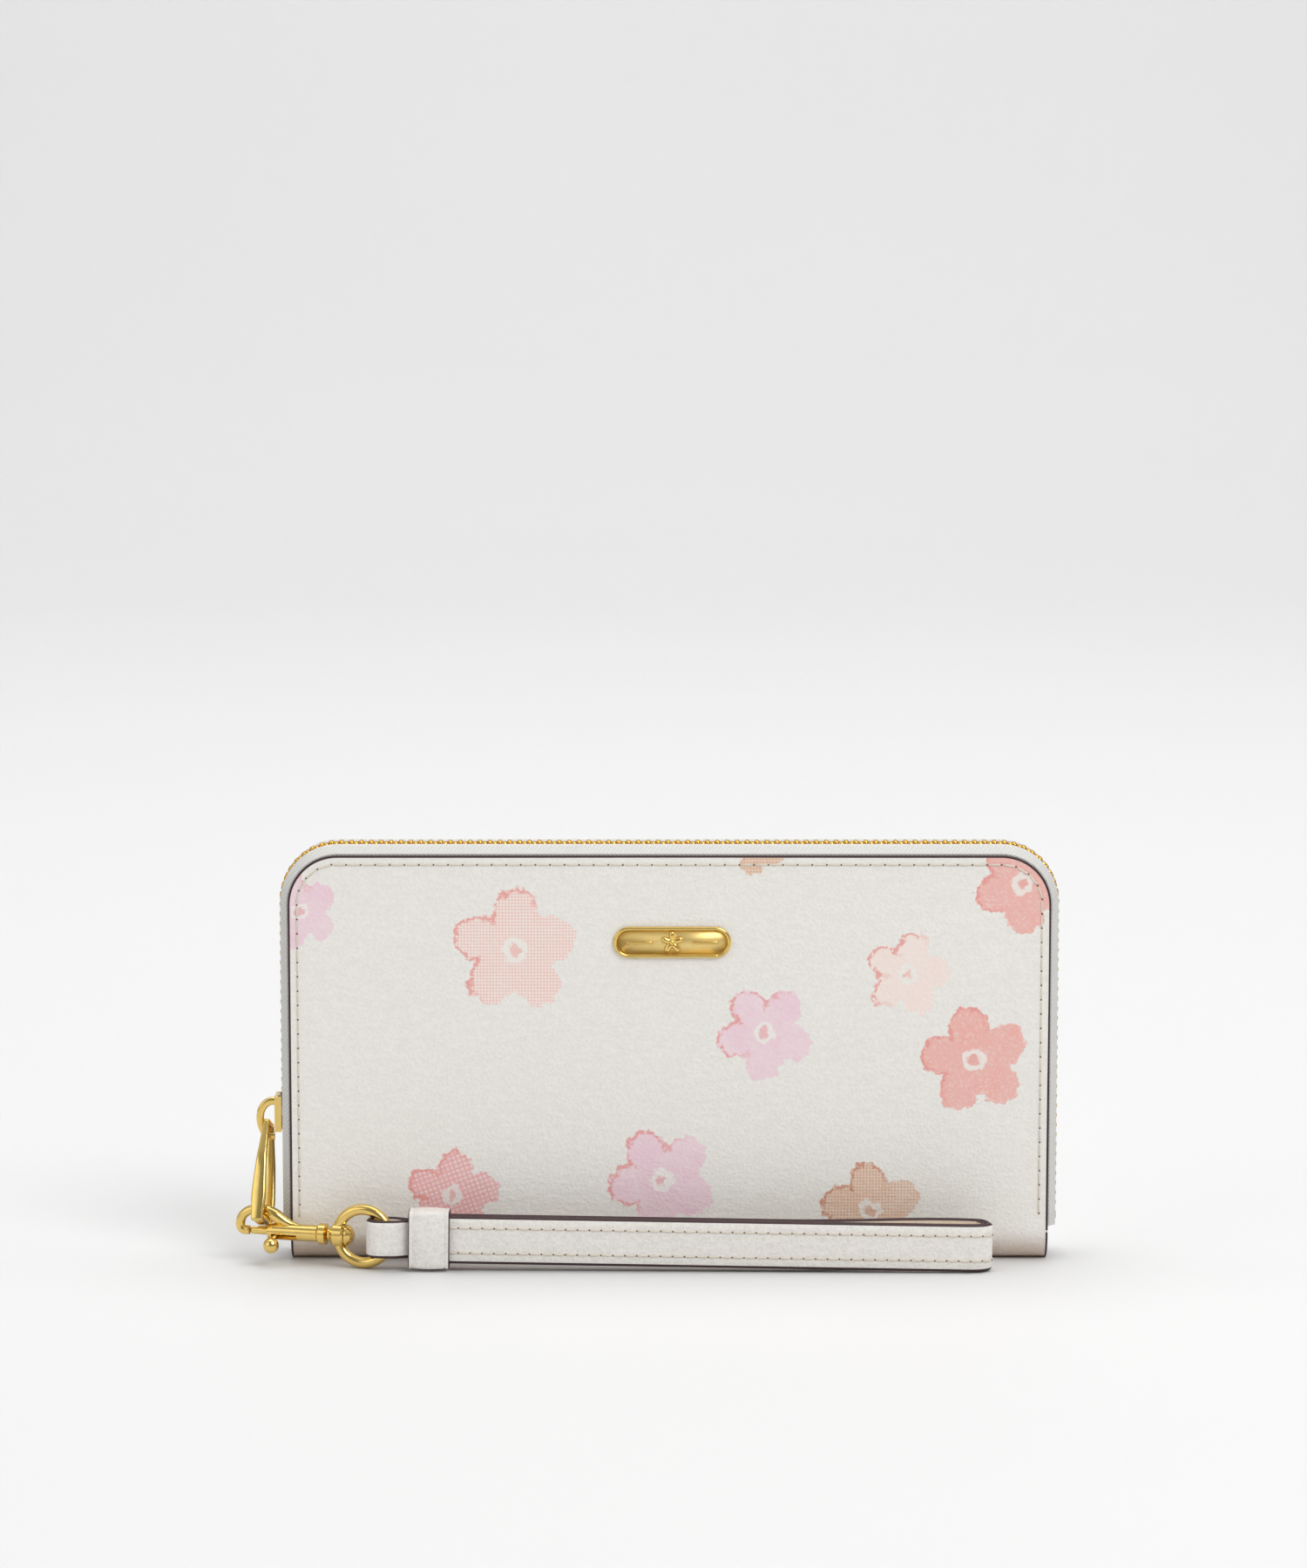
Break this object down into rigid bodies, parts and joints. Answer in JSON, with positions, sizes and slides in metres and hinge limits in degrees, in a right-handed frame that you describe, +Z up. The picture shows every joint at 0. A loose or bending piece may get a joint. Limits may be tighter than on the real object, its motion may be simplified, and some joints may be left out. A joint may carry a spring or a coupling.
{
  "type": "wristlet wallet",
  "caption": "Zip-around long wallet in printed canvas with a coin pocket and card slots inside, and a leather wrist strap on a bolt snap and ring.",
  "frame": {"origin": "middle of the flat strip under the wallet that it stands on", "axes": "+Z up the wallet towards the zip, +X along its length to the viewer's right, -Y out of its printed front"},
  "size_m": [0.2088, 0.0343, 0.1065],
  "materials": {
    "printed_canvas": "pebbled cream canvas with printed flowers",
    "board": "stiff board, hidden",
    "lining": "plain woven lining",
    "slot_leather": "smooth pale leather",
    "zip_tape": "woven cotton tape",
    "teeth_brass": "polished zip teeth",
    "gold_metal": "pale gold plating, polished",
    "strap_leather": "cream leather with dark painted edges",
    "gusset_cloth": "folded woven lining",
    "spring_steel": "drawn wire"
  },
  "bodies": {
    "shell": {"front_panel": "printed_canvas", "spine_panel": "printed_canvas", "spine_lining": "lining", "front_stiffener": "board", "front_lining": "lining", "front_card_slot_upper": "slot_leather", "front_card_slot_middle": "slot_leather", "front_card_slot_lower": "slot_leather", "zip_tape_front": "zip_tape", "zip_teeth_front": "teeth_brass", "zip_end_stop": "teeth_brass", "gusset_left": "gusset_cloth", "gusset_right": "gusset_cloth", "emblem_plate": "gold_metal", "emblem_rosette": "gold_metal"},
    "back_cover": {"back_panel": "printed_canvas", "back_stiffener": "board", "back_lining": "lining", "back_card_slot_upper": "slot_leather", "back_card_slot_middle": "slot_leather", "back_card_slot_lower": "slot_leather", "zip_tape_back": "zip_tape", "zip_teeth_back": "teeth_brass"},
    "divider": {"coin_pocket_front": "lining", "coin_pocket_back": "lining", "coin_pocket_top_band": "slot_leather", "coin_pocket_base": "slot_leather", "coin_pocket_piping": "slot_leather", "coin_zip_tape_lower": "zip_tape", "coin_zip_tape_upper": "zip_tape", "coin_zip_teeth_lower": "teeth_brass", "coin_zip_teeth_upper": "teeth_brass"},
    "coin_slider": {"coin_zip_slider": "gold_metal", "coin_zip_tab": "gold_metal"},
    "zip_slider": {"zip_slider_body": "gold_metal", "zip_slider_bridge": "gold_metal"},
    "zip_pull": {"zip_pull_loop": "gold_metal"},
    "hook": {"hook_bow": "gold_metal", "hook_barrel": "gold_metal", "bolt_spring": "spring_steel", "swivel_rivet": "gold_metal"},
    "bolt": {"gate_bolt": "gold_metal", "thumb_knob": "gold_metal"},
    "ring": {"swivel_ring": "gold_metal"},
    "strap": {"strap_leather": "strap_leather", "strap_inner": "strap_leather", "ring_tab": "strap_leather", "strap_keeper": "strap_leather"}
  },
  "joints": [
    {"name": "back_cover_hinge", "type": "hinge", "parent": "shell", "child": "back_cover", "pos_m": [0, 0.0073, 0.0022], "axis": [-1, 0, 0], "range_deg": [0, 50], "deforming": ["gusset_left", "gusset_right"]},
    {"name": "divider_hinge", "type": "hinge", "parent": "shell", "child": "divider", "pos_m": [0, 0, 0.002], "axis": [-1, 0, 0], "range_deg": [0, 25]},
    {"name": "coin_slider_slide", "type": "slide", "parent": "divider", "child": "coin_slider", "axis": [1, 0, 0], "range_m": [0, 0.13], "deforming": ["coin_zip_teeth_lower", "coin_zip_teeth_upper"]},
    {"name": "zip_slider_slide", "type": "slide", "parent": "shell", "child": "zip_slider", "axis": [0, 0, 1], "range_m": [0, 0.045], "deforming": ["zip_teeth_front", "zip_teeth_back"]},
    {"name": "zip_pull_hinge", "type": "hinge", "parent": "zip_slider", "child": "zip_pull", "pos_m": [-0.1019, 0, 0.0338], "axis": [0.1733, 0.8955, -0.41], "range_deg": [0, 140]},
    {"name": "hook_hinge", "type": "hinge", "parent": "zip_pull", "child": "hook", "pos_m": [-0.10354, -0.011, 0.01084], "axis": [0, -1, 0], "range_deg": [0, 36]},
    {"name": "gate_bolt_slide", "type": "slide", "parent": "hook", "child": "bolt", "axis": [0.965, -0.2622, 0], "range_m": [0, 0.005], "stiffness_N_per_m": 300, "springref_m": -0.003, "deforming": ["bolt_spring"]},
    {"name": "ring_swivel", "type": "hinge", "parent": "hook", "child": "ring", "pos_m": [-0.0838, -0.01624, 0.0083], "axis": [0.965, -0.2622, 0], "continuous": true},
    {"name": "strap_hinge", "type": "hinge", "parent": "ring", "child": "strap", "pos_m": [-0.07063, -0.01982, 0.0083], "axis": [0, 0, -1], "range_deg": [0, 95], "deforming": ["ring_tab"]}
  ],
  "couplings": [
    {"joint": "divider_hinge", "follows": "back_cover_hinge", "ratio": 0.5}
  ]
}
